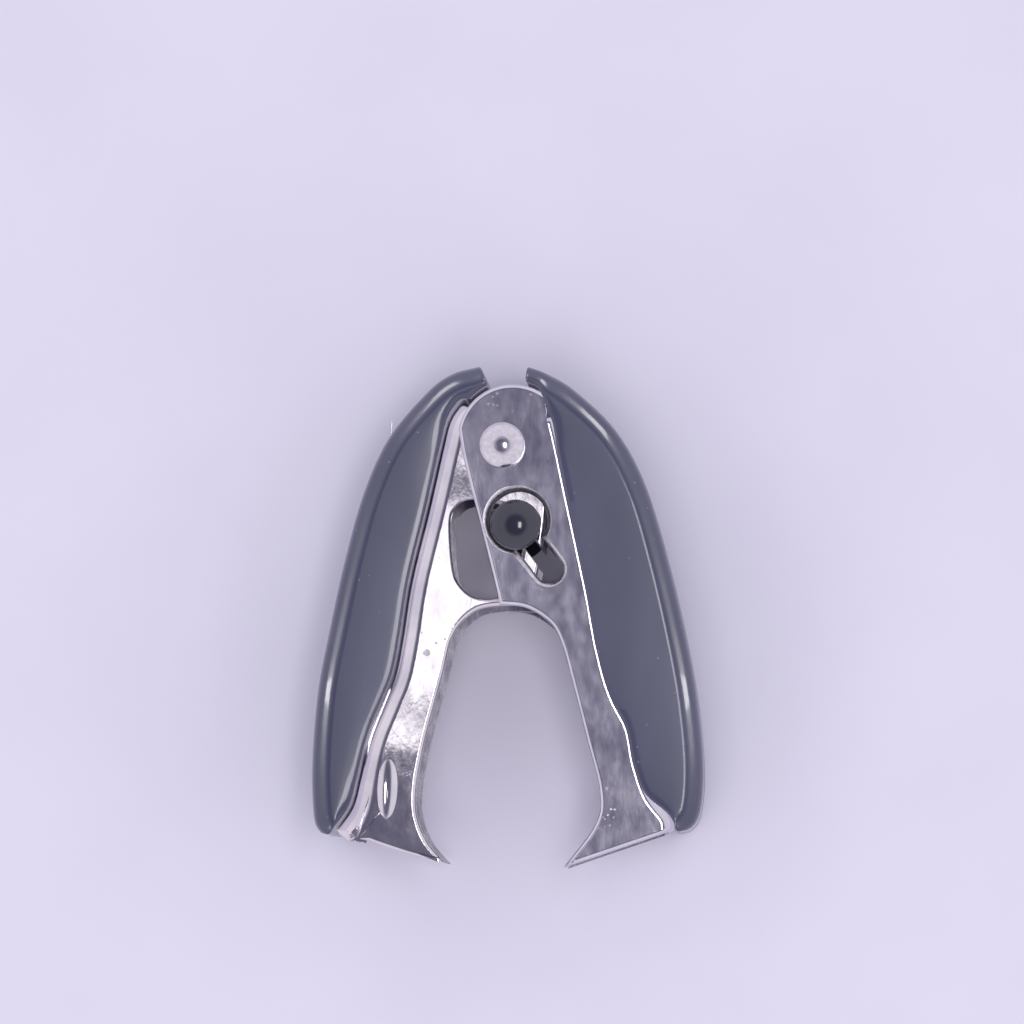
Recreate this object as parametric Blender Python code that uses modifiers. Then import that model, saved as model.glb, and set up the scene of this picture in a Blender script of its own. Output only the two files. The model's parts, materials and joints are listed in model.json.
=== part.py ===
# Claw staple remover: two stamped steel jaws that nest on one rivet, each with
# a plastic grip, a torsion spring that opens them and a button that locks them.
#
# The remover lies on the flat sides of its grips, with the rivet upright.
# +Y runs from the claws to the rivet, +X to the outer jaw's side. The origin
# is on the floor, under the middle of the whole remover.
# The rivet's axis is the reference of every outline.

import math

import bmesh
import bpy
from mathutils import Matrix, Vector

# ---------------------------------------------------------------- sizes, metres

reach = 0.0469              # rivet to the outer jaw's claw tips
head = 0.0088               # rivet to the top of the grips
lean = 0.0006               # how much further the outer side stands out
width = 0.0200              # over the grips' flat sides

gap = 0.0003                # between pieces that touch or slide
sheet = 0.0009              # steel of both jaws
jaw_width = 0.0150          # over the outer jaw's cheeks
bend_radius = 0.0016        # outside of the jaws' bends
closing_angle = 18.5        # how far the inner jaw turns when it is locked, degrees

rivet_radius = 0.0015
rivet_head_radius = 0.0025
rivet_head_height = 0.0017
sleeve_wall = 0.00055

wire = 0.0009               # the spring's wire
coil_play = 0.0004          # between the coil and the sleeve
coil_turns = 5
coil_length = 0.0080
leg_drop = 0.0070           # how far below the rivet the spring's legs press

lock_at = Vector((0.0015, -0.0089))
lock_travel = 0.0061
lock_slope = -52.9          # direction of the travel, degrees from +X
pin_radius = 0.0006
pin_play = 0.00015          # of the pin in the inner jaw's branch slot
press_gap = 0.0002          # of the pin in its buttons
button_radius = 0.0028
button_height = 0.0020
home_hole_at = Vector((0.0018, -0.0083))
home_hole_radius = 0.0032   # round end of the keyhole, under the button
lobe_radius = 0.00155       # narrow end of the keyhole

grip_skin = 0.0018          # back wall of a grip
grip_side = 0.0030          # side wall of a grip
grip_round = 0.0010         # edge round of a grip
lug_radius = 0.0015         # pegs that hold a grip on its jaw
lug_stand = 0.0009          # how far a peg shows inside its jaw

head_arc_centre = Vector((0.0011, 0.00075))
head_arc_radius = 0.0061    # top of the outer jaw's cheeks
eye_radius = 0.0056         # top of the inner jaw's cheeks

round_steps = 32

# ---------------------------------------------------------------- outlines, mm
# Drawn from the rivet's axis, for a reach of 46.9 mm. A longer reach stretches
# the claws and what is beside them, and leaves the lock's part as it is.

drawn_reach = 46.9
claws_from = -20.0

outer_edge = [(-4.85, 1.6), (-4.2, -2.0), (-1.6, -12.4), (-0.3, -17.7)]
outer_arch = [(-0.3, -17.7), (2.7, -18.1), (5.3, -19.8), (6.5, -22.0), (7.5, -25.5),
              (9.4, -33.0), (10.7, -38.3), (10.3, -42.0), (6.73, -46.9)]
outer_bend = [(19.1, -42.7), (18.7, -41.1), (16.9, -38.7), (15.7, -35.2), (14.9, -31.2),
              (13.0, -27.3), (11.6, -22.2), (10.5, -16.1), (8.3, -5.8), (7.1, 0.0),
              (6.3, 3.4), (5.26, 5.2)]

inner_bend = [(-4.6, 4.9), (-5.9, 2.9), (-6.8, -0.6), (-8.3, -7.2), (-10.2, -15.0),
              (-11.2, -21.3), (-12.0, -25.4), (-13.2, -28.5), (-14.8, -32.5),
              (-15.9, -37.0), (-16.8, -40.2), (-18.7, -42.9)]
inner_foot = [(-18.7, -42.9), (-15.7, -43.7), (-10.6, -45.4), (-6.4, -46.4)]
inner_arch = [(-6.4, -46.4), (-8.7, -43.5), (-9.7, -39.6), (-8.9, -33.7), (-6.7, -25.3),
              (-5.6, -21.1), (-3.3, -18.5), (-0.5, -17.8), (3.1, -17.8)]
inner_edge = [(3.1, -17.8), (4.3, -11.9), (4.8, -8.3), (5.5, -1.2)]
window_edge = [(-0.3, -6.5), (-3.6, -5.9), (-5.3, -6.8), (-5.9, -8.6),
               (-5.6, -13.4), (-4.9, -15.4), (-3.2, -16.8), (-0.8, -16.9)]

left_back = [(-2.4, 8.8), (-5.5, 8.0), (-8.3, 6.0), (-12.6, 0.9), (-15.4, -5.2),
             (-17.5, -12.7), (-19.2, -20.5), (-20.5, -27.5), (-21.1, -35.5),
             (-20.9, -41.2), (-20.2, -42.9), (-19.0, -43.3)]
right_back = [(19.4, -43.0), (21.0, -42.5), (22.0, -40.4), (22.3, -35.5), (21.7, -28.7),
              (20.5, -21.8), (18.4, -12.7), (15.9, -4.4), (12.7, 1.5), (8.4, 5.8),
              (5.5, 7.7), (2.8, 8.7)]

peg_heights = (-10.5, -30.0)
hollow_heights = (-38.5, -0.5)

# ---------------------------------------------------------------- small helpers

for old in list(bpy.data.objects):
    bpy.data.objects.remove(old, do_unlink=True)

parts = bpy.data.collections.new("staple_remover")
cutters = bpy.data.collections.new("cutters")
bpy.context.scene.collection.children.link(parts)
bpy.context.scene.collection.children.link(cutters)


def drawn_height(y):
    if y < claws_from:
        y = claws_from + (y - claws_from) * (reach * 1000 + claws_from) / (drawn_reach + claws_from)
    return y * 0.001


def drawn(points):
    return [Vector((x * 0.001, drawn_height(y))) for x, y in points]


def smooth(line, steps=3, closed=False):
    # a Catmull-Rom line through the given points
    count = len(line)
    spans = count if closed else count - 1
    result = []
    for i in range(spans):
        a = line[(i - 1) % count] if closed or i > 0 else line[0] * 2 - line[1]
        b = line[i]
        c = line[(i + 1) % count]
        d = line[(i + 2) % count] if closed or i + 2 < count else c * 2 - b
        for k in range(steps):
            t = k / steps
            result.append(0.5 * (2 * b + (c - a) * t + (2 * a - 5 * b + 4 * c - d) * t * t
                                 + (3 * b - a - 3 * c + d) * t * t * t))
    if not closed:
        result.append(line[-1].copy())
    return result


def arc(centre, radius, start, end, steps):
    line = []
    for k in range(steps + 1):
        angle = math.radians(start + (end - start) * k / steps)
        line.append(centre + radius * Vector((math.cos(angle), math.sin(angle))))
    return line


def moved_aside(line, distance):
    # the line moved to the right of its own direction
    result = []
    last = len(line) - 1
    for i, point in enumerate(line):
        along = (line[min(i + 1, last)] - line[max(i - 1, 0)]).normalized()
        result.append(point + Vector((along.y, -along.x)) * distance)
    return result


def x_on(line, y):
    # where a line that runs up or down crosses a height
    for a, b in zip(line, line[1:]):
        if min(a.y, b.y) <= y <= max(a.y, b.y):
            return a.x + (b.x - a.x) * (y - a.y) / (b.y - a.y)
    return line[-1].x


def material(name, colour, roughness, metallic):
    mat = bpy.data.materials.new(name)
    mat.use_nodes = True
    shader = mat.node_tree.nodes["Principled BSDF"]
    shader.inputs["Base Color"].default_value = (*colour, 1)
    shader.inputs["Roughness"].default_value = roughness
    shader.inputs["Metallic"].default_value = metallic
    return mat


def axis_empty(name, place, parent=None):
    empty = bpy.data.objects.new(name, None)
    empty.empty_display_size = 0.01
    empty.location = place
    empty.parent = parent
    parts.objects.link(empty)
    return empty


def mesh_object(name, bm, collection, parent, mat=None):
    bmesh.ops.recalc_face_normals(bm, faces=bm.faces)
    mesh = bpy.data.meshes.new(name)
    bm.to_mesh(mesh)
    bm.free()
    obj = bpy.data.objects.new(name, mesh)
    obj.parent = parent
    collection.objects.link(obj)
    if mat:
        mesh.materials.append(mat)
    if collection is cutters:
        obj.hide_render = True
        obj.display_type = "WIRE"
    return obj


def shade(obj, angle=35):
    obj.data.shade_smooth()
    obj.data.set_sharp_from_angle(angle=math.radians(angle))


def cut(obj, cutter, operation="DIFFERENCE"):
    mod = obj.modifiers.new(cutter.name, "BOOLEAN")
    mod.object = cutter
    mod.operation = operation


def prism(name, outline, low, high, collection, parent, mat=None, round_edges=()):
    # an outline drawn out along Z; round_edges are the outline's sides to bevel
    bm = bmesh.new()
    weight = bm.edges.layers.float.new("bevel_weight_edge")
    ring = [bm.verts.new((point.x, point.y, low)) for point in outline]
    face = bm.faces.new(ring)
    grown = bmesh.ops.extrude_face_region(bm, geom=[face])["geom"]
    top = [item for item in grown if isinstance(item, bmesh.types.BMVert)]
    bmesh.ops.translate(bm, verts=top, vec=(0, 0, high - low))
    chosen = [outline[i] for i in round_edges]
    for edge in bm.edges:
        a, b = (vert.co for vert in edge.verts)
        flat = abs(a.z - b.z) < 1e-6
        if flat and all(any((v.co.xy - p).length < 1e-6 for p in chosen) for v in edge.verts):
            edge[weight] = 1
    return mesh_object(name, bm, collection, parent, mat)


def rod(name, radius, ends, collection, parent, mat=None, steps=round_steps):
    # a cylinder between two points
    start, end = Vector(ends[0]), Vector(ends[1])
    bm = bmesh.new()
    turn = (end - start).to_track_quat("Z", "Y").to_matrix().to_4x4()
    bmesh.ops.create_cone(bm, cap_ends=True, segments=steps, radius1=radius, radius2=radius,
                          depth=(end - start).length,
                          matrix=Matrix.Translation((start + end) / 2) @ turn)
    return mesh_object(name, bm, collection, parent, mat)


def turned(name, profile, parent, mat, steps=round_steps):
    # a profile of (radius, height) pairs, top to bottom on its outer side
    bm = bmesh.new()
    verts = [bm.verts.new((radius, 0, height)) for radius, height in profile]
    for a, b in zip(verts, verts[1:]):
        bm.edges.new((a, b))
    mesh = bpy.data.meshes.new(name)
    bm.to_mesh(mesh)
    bm.free()
    mesh.materials.append(mat)
    obj = bpy.data.objects.new(name, mesh)
    obj.parent = parent
    parts.objects.link(obj)
    mod = obj.modifiers.new("turn", "SCREW")
    mod.steps = steps
    mod.render_steps = steps
    mod.use_merge_vertices = True
    mod.merge_threshold = 0.00001
    mod.use_smooth_shade = True
    return obj


def dome(radius, foot, height, steps=6):
    # half an ellipse as a profile, from its crown to its rim
    line = [(0.0, foot + height)]
    for k in range(1, steps + 1):
        angle = math.radians(90 * k / steps)
        line.append((radius * math.sin(angle), foot + height * math.cos(angle)))
    return line


# ---------------------------------------------------------------- jaws

def bent_sheet(name, free_edge, bend_line, half_width, parent, mat):
    # Two cheeks joined by a web. free_edge and bend_line go round one cheek
    # counter-clockwise, and the web hangs on the bend line.
    bm = bmesh.new()
    weight = bm.edges.layers.float.new("bevel_weight_edge")
    free = [bm.verts.new((p.x, p.y, half_width)) for p in free_edge[1:-1]]
    bend = [bm.verts.new((p.x, p.y, half_width)) for p in bend_line]
    foot = [bm.verts.new((p.x, p.y, 0)) for p in bend_line]
    bm.faces.new(bend + free)
    for i in range(len(bend) - 1):
        bm.faces.new((foot[i], foot[i + 1], bend[i + 1], bend[i]))
        bm.edges.get((bend[i], bend[i + 1]))[weight] = 1
    mesh = bpy.data.meshes.new(name)
    bm.to_mesh(mesh)
    bm.free()
    mesh.materials.append(mat)
    obj = bpy.data.objects.new(name, mesh)
    obj.parent = parent
    parts.objects.link(obj)
    mirror = obj.modifiers.new("other cheek", "MIRROR")
    mirror.use_axis = (False, False, True)
    mirror.merge_threshold = 0.00001
    bevel = obj.modifiers.new("bend", "BEVEL")
    bevel.limit_method = "WEIGHT"
    bevel.width = bend_radius
    bevel.segments = 3
    bevel.use_clamp_overlap = False
    solid = obj.modifiers.new("sheet", "SOLIDIFY")
    solid.thickness = sheet
    solid.offset = -1
    solid.use_even_offset = True
    shade(obj)
    return obj


half_outer = jaw_width / 2
half_inner = half_outer - sheet - gap
lock_along = Vector((math.cos(math.radians(lock_slope)), math.sin(math.radians(lock_slope))))
lock_end = lock_at + lock_along * lock_travel
coil_radius = rivet_radius + gap + sleeve_wall + coil_play + wire / 2
boss_radius = lobe_radius - gap


def slot_outline(start, end, radius, steps=8):
    heading = math.degrees(math.atan2(end.y - start.y, end.x - start.x))
    return (arc(end, radius, heading - 90, heading + 90, steps)
            + arc(start, radius, heading + 90, heading + 270, steps))


def eyelet(jaw, half):
    # the rivet's hole through both cheeks
    hole = rod(jaw.name + "_eye", rivet_radius + gap, ((0, 0, -half - sheet), (0, 0, half + sheet)),
               cutters, pivot)
    cut(jaw, hole)


def outer_jaw(mat):
    top = arc(head_arc_centre, head_arc_radius, 47, 172, 12)
    bend = smooth(drawn(outer_bend), 2)
    bend[-1] = top[0]
    free = top[:-1] + smooth(drawn(outer_edge), 2)[:-1] + smooth(drawn(outer_arch), 3) + [bend[0]]
    jaw = bent_sheet("outer_jaw", free, bend, half_outer, pivot, mat)
    eyelet(jaw, half_outer)
    home = rod("keyhole_home", home_hole_radius,
               ((*home_hole_at, -half_outer - sheet), (*home_hole_at, half_outer + sheet)),
               cutters, pivot)
    slot = prism("keyhole_slot", slot_outline(lock_at, lock_end, lobe_radius),
                 -half_outer - sheet, half_outer + sheet, cutters, pivot)
    cut(jaw, home)
    cut(jaw, slot)
    return jaw


def window_outline():
    # the drawn outline, closed by the places where the lock pin stands:
    # at rest it stops the jaw, and when locked it is held in the foot
    locked = Matrix.Rotation(math.radians(-closing_angle), 2) @ lock_end
    room = pin_radius + gap
    lock_side = [locked + Vector((room * 0.4, -room * 1.3)),
                 locked + Vector((room * 1.05, 0)),
                 lock_at + Vector((room, -room * 1.3)),
                 lock_at + Vector((room, room * 0.2)),
                 lock_at + Vector((room * 0.2, room * 1.2))]
    return smooth(drawn(window_edge) + lock_side, 3, closed=True)


def inner_jaw(mat):
    bend = smooth(drawn(inner_bend), 2)
    edge = smooth(drawn(inner_edge), 2)
    eye_start = math.degrees(math.atan2(edge[-1].y, edge[-1].x))
    top = arc(Vector((0, 0)), eye_radius, eye_start + 4, 128, 10)
    foot = smooth(drawn(inner_foot), 1)
    arch = smooth(drawn(inner_arch), 3)
    free = foot + arch[1:] + edge[1:] + top + [bend[0]]
    jaw = bent_sheet("inner_jaw", free, bend, half_inner, pivot, mat)
    eyelet(jaw, half_inner)
    tall = half_inner + sheet
    opening = prism("window_cut", window_outline(), -tall, tall, cutters, pivot)
    branch = prism("branch_cut", slot_outline(lock_at, lock_end, pin_radius + pin_play),
                   -tall, tall, cutters, pivot)
    cut(jaw, opening)
    cut(jaw, branch)
    return jaw


# ---------------------------------------------------------------- grips

def grip(name, back, seat, bend, side, mat):
    # back: the outline that the hand holds; seat: along the jaw's metal.
    # side is -1 for the left grip and 1 for the right one.
    half = width / 2
    outline = back + seat
    piece = prism(name, outline, -half, half, parts, pivot, mat, round_edges=range(len(back)))
    bevel = piece.modifiers.new("edge round", "BEVEL")
    bevel.limit_method = "WEIGHT"
    bevel.width = grip_round
    bevel.segments = 2
    shade(piece)
    # the hollow behind the web
    wall = moved_aside(back, -grip_skin)
    foot, top = (drawn_height(y) for y in hollow_heights)
    pocket = [p for p in wall if foot < p.y < top]
    inward = Vector((side * (sheet + 2 * gap), 0))
    mouth = [p - inward for p in reversed(bend) if foot < p.y < top]
    hollow = prism(name + "_hollow", pocket + mouth, -half + grip_side, half - grip_side, cutters, pivot)
    cut(piece, hollow)
    for number, height in enumerate(drawn_height(y) for y in peg_heights):
        web_x = x_on(bend, height)
        back_x = x_on(back, height)
        start = (back_x - side * grip_skin / 2, height, 0)
        end = (web_x - side * (sheet + lug_stand), height, 0)
        peg = rod(f"{name}_peg_{number}", lug_radius, (start, end), cutters, pivot, steps=16)
        cut(piece, peg, "UNION")
    return piece


def peg_holes(jaw, bend, side):
    for number, height in enumerate(drawn_height(y) for y in peg_heights):
        web_x = x_on(bend, height)
        reach_x = side * 0.004
        hole = rod(f"{jaw.name}_peg_hole_{number}", lug_radius + gap,
                   ((web_x + reach_x, height, 0), (web_x - reach_x, height, 0)), cutters, pivot, steps=16)
        cut(jaw, hole)


def left_grip(mat):
    bend = smooth(drawn(inner_bend), 2)
    seat_line = moved_aside(bend, gap)
    arc_line = arc(head_arc_centre, head_arc_radius + 2 * gap, 114, 137, 3)
    seat = list(reversed(arc_line + seat_line))
    back = smooth(drawn(left_back), 2)
    return grip("left_grip", back, seat, bend, -1, mat)


def right_grip(mat):
    bend = smooth(drawn(outer_bend), 2)
    seat_line = moved_aside(bend, gap)
    arc_line = arc(head_arc_centre, head_arc_radius + 2 * gap, 47, 76, 3)
    seat = list(reversed(seat_line[:-1] + arc_line))
    back = smooth(drawn(right_back), 2)
    return grip("right_grip", back, seat, bend, 1, mat)


# ---------------------------------------------------------------- rivet, sleeve, spring

def pivot_rivet(mat):
    foot = half_outer + gap
    front = dome(rivet_head_radius, foot, rivet_head_height)
    front.append((rivet_radius, foot))
    rear = [(radius, -height) for radius, height in reversed(front)]
    return turned("pivot_rivet", front + rear, pivot, mat)


def pivot_sleeve(mat):
    inside = rivet_radius + gap
    outside = inside + sleeve_wall
    half = half_inner - sheet - gap
    profile = [(inside, half), (outside, half), (outside, -half), (inside, -half), (inside, half)]
    return turned("pivot_sleeve", profile, pivot, mat)


def leg_end(bend, side):
    height = -leg_drop
    return Vector((x_on(bend, height) - side * (sheet + gap * 1.3 + wire / 2), height))


def tangent_angle(point, side):
    # where a line from the point touches the coil's circle, degrees
    heading = math.degrees(math.atan2(point.y, point.x))
    return heading + side * math.degrees(math.acos(coil_radius / point.length))


def torsion_spring(mat):
    right = leg_end(smooth(drawn(outer_bend), 2), 1)
    left = leg_end(smooth(drawn(inner_bend), 2), -1)
    start = tangent_angle(right, 1)
    end = tangent_angle(left, -1) + 360
    sweep = (end - start) % 360 + 360 * coil_turns
    steps = coil_turns * 14
    points = [(right.x, right.y, -coil_length / 2)]
    for k in range(steps + 1):
        angle = math.radians(start + sweep * k / steps)
        height = coil_length * (k / steps - 0.5)
        points.append((coil_radius * math.cos(angle), coil_radius * math.sin(angle), height))
    points.append((left.x, left.y, coil_length / 2))
    curve = bpy.data.curves.new("torsion_spring", "CURVE")
    curve.dimensions = "3D"
    curve.bevel_depth = wire / 2
    curve.bevel_resolution = 2
    curve.use_fill_caps = True
    spline = curve.splines.new("POLY")
    spline.points.add(len(points) - 1)
    for item, point in zip(spline.points, points):
        item.co = (*point, 1)
    curve.materials.append(mat)
    spring = bpy.data.objects.new("torsion_spring", curve)
    spring.parent = pivot
    parts.objects.link(spring)
    return spring


# ---------------------------------------------------------------- lock

def lock_pin(mat):
    end = half_outer + gap + button_height * 0.25
    profile = [(0.0, end), (pin_radius, end), (pin_radius, -end), (0.0, -end)]
    return turned("lock_pin", profile, lock_axis, mat, steps=16)


def lock_button(name, side, mat):
    # a domed cap outside the outer jaw, with a boss that fills the keyhole's lobe
    foot = half_outer + gap
    boss_end = half_outer - sheet + gap / 2
    hole = pin_radius + press_gap
    hole_end = half_outer + 2 * gap + button_height * 0.25
    profile = dome(button_radius, foot, button_height)
    profile += [(boss_radius, foot), (boss_radius, boss_end), (hole, boss_end),
                (hole, hole_end), (0.0, hole_end)]
    if side < 0:
        profile = [(radius, -height) for radius, height in reversed(profile)]
    return turned(name, profile, lock_axis, mat)


# ---------------------------------------------------------------- the assembly

pivot = axis_empty("pivot_axis", (-lean, (reach - head) / 2, width / 2))
lock_axis = axis_empty("lock_axis", (lock_at.x, lock_at.y, 0), pivot)

nickel = material("nickel_plate", (0.72, 0.72, 0.74), 0.18, 1.0)
black = material("black_plastic", (0.02, 0.02, 0.024), 0.2, 0.0)
spring_steel = material("spring_steel", (0.5, 0.5, 0.5), 0.3, 1.0)

outer = outer_jaw(nickel)
inner = inner_jaw(nickel.copy())
peg_holes(outer, smooth(drawn(outer_bend), 2), 1)
peg_holes(inner, smooth(drawn(inner_bend), 2), -1)
left_grip(black)
right_grip(black.copy())
pivot_rivet(nickel.copy())
pivot_sleeve(spring_steel.copy())
torsion_spring(spring_steel)
lock_pin(spring_steel.copy())
lock_button("lock_button_front", 1, black.copy())
lock_button("lock_button_rear", -1, black.copy())
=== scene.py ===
# Claw staple remover: two nickel-plated jaws nested on one rivet, a moulded grip on
# each, a torsion spring between them and a sliding button that locks them shut.
import json
import math
import bmesh
import bpy
from mathutils import Matrix, Vector, kdtree


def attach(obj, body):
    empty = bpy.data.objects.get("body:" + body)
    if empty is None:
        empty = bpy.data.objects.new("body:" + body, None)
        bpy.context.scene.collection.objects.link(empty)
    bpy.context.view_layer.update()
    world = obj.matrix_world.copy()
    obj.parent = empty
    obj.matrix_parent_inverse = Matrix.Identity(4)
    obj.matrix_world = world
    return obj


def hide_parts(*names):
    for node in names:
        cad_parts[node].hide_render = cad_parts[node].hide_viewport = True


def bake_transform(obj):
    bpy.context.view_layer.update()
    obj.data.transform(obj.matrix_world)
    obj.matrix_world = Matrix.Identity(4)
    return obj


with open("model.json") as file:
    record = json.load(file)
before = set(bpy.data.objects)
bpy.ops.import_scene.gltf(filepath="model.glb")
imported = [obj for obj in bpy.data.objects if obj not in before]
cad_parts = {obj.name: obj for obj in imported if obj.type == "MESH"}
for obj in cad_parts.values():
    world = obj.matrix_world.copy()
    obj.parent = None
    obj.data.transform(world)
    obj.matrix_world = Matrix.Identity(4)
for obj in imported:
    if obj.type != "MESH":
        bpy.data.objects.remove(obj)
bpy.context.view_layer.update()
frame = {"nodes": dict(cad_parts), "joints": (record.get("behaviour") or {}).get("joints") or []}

joints = {joint["name"]: joint for joint in frame["joints"]}
pivot = Vector(joints["jaw_pivot"]["pos_m"])
toFrame = Matrix.Translation(pivot) @ Matrix.Scale(0.001, 4)   # pieces are drawn in mm from the rivet's axis

# lines that several pieces share, in mm from the rivet's axis
shape = {
    "sheet": 0.9,
    "gap": 0.3,
    "outerHalf": 7.5,
    "innerHalf": 6.3,
    "headCentre": Vector((1.1, 0.75)),
    "headRadius": 6.1,
    "lockAt": Vector((1.5, -8.9)),
    "lockEnd": Vector((5.18, -13.765)),
    "outerBend": [(19.1, -42.7), (18.7, -41.1), (16.9, -38.7), (15.7, -35.2), (14.9, -31.2),
                  (13.0, -27.3), (11.6, -22.2), (10.5, -16.1), (8.3, -5.8), (7.1, 0.0),
                  (6.3, 3.4), (5.26, 5.2)],
    "innerBend": [(-4.6, 4.9), (-5.9, 2.9), (-6.8, -0.6), (-8.3, -7.2), (-10.2, -15.0),
                  (-11.2, -21.3), (-12.0, -25.4), (-13.2, -28.5), (-14.8, -32.5),
                  (-15.9, -37.0), (-16.8, -40.2), (-18.7, -42.9)],
}


def say(words):
    print("staple remover:", words, flush=True)


# ---- lines

def smoothLine(points, steps=5, closed=False):
    # a soft curve through the points
    line = [Vector(p) for p in points]
    count = len(line)
    result = []
    for i in range(count if closed else count - 1):
        a = line[(i - 1) % count] if closed or i > 0 else line[0] * 2 - line[1]
        b = line[i]
        c = line[(i + 1) % count]
        d = line[(i + 2) % count] if closed or i + 2 < count else c * 2 - b
        for k in range(steps):
            t = k / steps
            result.append(0.5 * (2 * b + (c - a) * t + (2 * a - 5 * b + 4 * c - d) * t * t
                                 + (3 * b - a - 3 * c + d) * t * t * t))
    if not closed:
        result.append(line[-1])
    return result


def arcLine(centre, radius, start, end, steps):
    turns = [math.radians(start + (end - start) * k / steps) for k in range(steps + 1)]
    return [Vector(centre) + radius * Vector((math.cos(t), math.sin(t))) for t in turns]


def slotLine(start, end, radius, steps=24):
    heading = math.degrees(math.atan2(end.y - start.y, end.x - start.x))
    return (arcLine(end, radius, heading - 90, heading + 90, steps)
            + arcLine(start, radius, heading + 90, heading + 270, steps))


def asideLine(line, distance):
    # the line moved to its own right, by one distance or by one for each point
    spread = distance if isinstance(distance, list) else [distance] * len(line)
    result = []
    for i, point in enumerate(line):
        along = (line[min(i + 1, len(line) - 1)] - line[max(i - 1, 0)]).normalized()
        result.append(point + Vector((along.y, -along.x)) * spread[i])
    return result


def evenLine(line, count):
    # the same line with its points evenly spaced
    travelled = [0.0]
    for a, b in zip(line, line[1:]):
        travelled.append(travelled[-1] + (b - a).length)
    result = []
    i = 0
    for k in range(count):
        wanted = travelled[-1] * k / (count - 1)
        while i < len(line) - 2 and travelled[i + 1] < wanted:
            i += 1
        share = (wanted - travelled[i]) / (travelled[i + 1] - travelled[i])
        result.append(line[i].lerp(line[i + 1], share))
    return result


def crossing(line, y):
    # where a line that runs up or down reaches a height
    for a, b in zip(line, line[1:]):
        if min(a.y, b.y) <= y <= max(a.y, b.y):
            return a.x + (b.x - a.x) * (y - a.y) / (b.y - a.y)
    return line[-1].x


# ---- nodes and finishes

def linear(code):
    parts = [int(code[i:i + 2], 16) / 255 for i in (0, 2, 4)]
    return (*(c / 12.92 if c <= 0.04045 else ((c + 0.055) / 1.055) ** 2.4 for c in parts), 1.0)


def addNode(tree, kind, inputs=None, ramp=None, **settings):
    node = tree.nodes.new("ShaderNode" + kind)
    for key, value in settings.items():
        setattr(node, key, value)
    if ramp:
        while len(node.color_ramp.elements) < len(ramp):
            node.color_ramp.elements.new(0.5)
        for element, (position, colour) in zip(node.color_ramp.elements, ramp):
            element.position = position
            element.color = colour
    for socket, value in (inputs or {}).items():
        if isinstance(value, bpy.types.NodeSocket):
            tree.links.new(value, node.inputs[socket])
        else:
            node.inputs[socket].default_value = value
    return node


def newFinish(name):
    mat = bpy.data.materials.new(name)
    mat.use_nodes = True
    tree = mat.node_tree
    tree.nodes.clear()
    place = addNode(tree, "TexCoord").outputs["Object"]
    return mat, tree, place


def closeFinish(tree, shader):
    addNode(tree, "OutputMaterial", {"Surface": shader.outputs[0]})


def grain(millimetres):
    return 1000 / millimetres


grey = [(k, k, k, 1) for k in (0.0, 1.0)]


def nickelPlate(name, finish):
    # bright nickel plated over cold-rolled steel, then stamped: a cold mirror with a
    # faint orange peel, slow waves from the press and a few pits that scatter light
    mat, tree, place = newFinish(name)
    wave = addNode(tree, "TexNoise", {"Vector": place, "Scale": grain(finish["waveSize"]), "Detail": 1.0})
    stretched = addNode(tree, "Mapping", {"Vector": place, "Rotation": (0, 0, finish["rollAngle"]),
                                          "Scale": (1.0, 0.45, 1.0)})
    peel = addNode(tree, "TexNoise", {"Vector": stretched.outputs[0], "Scale": grain(finish["peelSize"]),
                                      "Detail": 4.0, "Roughness": 0.6})
    pits = addNode(tree, "TexVoronoi", {"Vector": place, "Scale": grain(0.62), "Randomness": 1.0})
    pitMask = addNode(tree, "ValToRGB", {"Fac": pits.outputs["Distance"]},
                      ramp=[(0.0, grey[1]), (0.16, grey[1]), (0.24, grey[0])])
    patches = addNode(tree, "TexNoise", {"Vector": place, "Scale": grain(5.0), "Detail": 3.0})
    fewPits = addNode(tree, "ValToRGB", {"Fac": patches.outputs["Fac"]},
                      ramp=[(0.56, grey[0]), (0.72, grey[1])])
    pitted = addNode(tree, "Math", {0: pitMask.outputs[0], 1: fewPits.outputs[0]}, operation="MULTIPLY")
    tint = addNode(tree, "ValToRGB", {"Fac": patches.outputs["Fac"]},
                   ramp=[(0.35, linear(finish["deep"])), (0.65, linear(finish["bright"]))])
    rough = addNode(tree, "MapRange", {"Value": peel.outputs["Fac"], "From Min": 0.3, "From Max": 0.7,
                                       "To Min": finish["rough"][0], "To Max": finish["rough"][1]})
    roughPitted = addNode(tree, "Math", {0: pitted.outputs[0], 1: 0.12, 2: rough.outputs[0]},
                          operation="MULTIPLY_ADD")
    slow = addNode(tree, "Bump", {"Height": wave.outputs["Fac"], "Distance": finish["waveHeight"] * 0.001})
    fine = addNode(tree, "Bump", {"Height": peel.outputs["Fac"], "Distance": finish["peelHeight"] * 0.001,
                                  "Normal": slow.outputs[0]})
    dents = addNode(tree, "Bump", {"Height": pitted.outputs[0], "Distance": finish["pitDepth"] * 0.001,
                                   "Normal": fine.outputs[0]}, invert=True)
    shader = addNode(tree, "BsdfPrincipled", {"Base Color": tint.outputs[0], "Metallic": 1.0,
                                              "Roughness": roughPitted.outputs[0],
                                              "Normal": dents.outputs[0]})
    closeFinish(tree, shader)
    return mat


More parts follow.
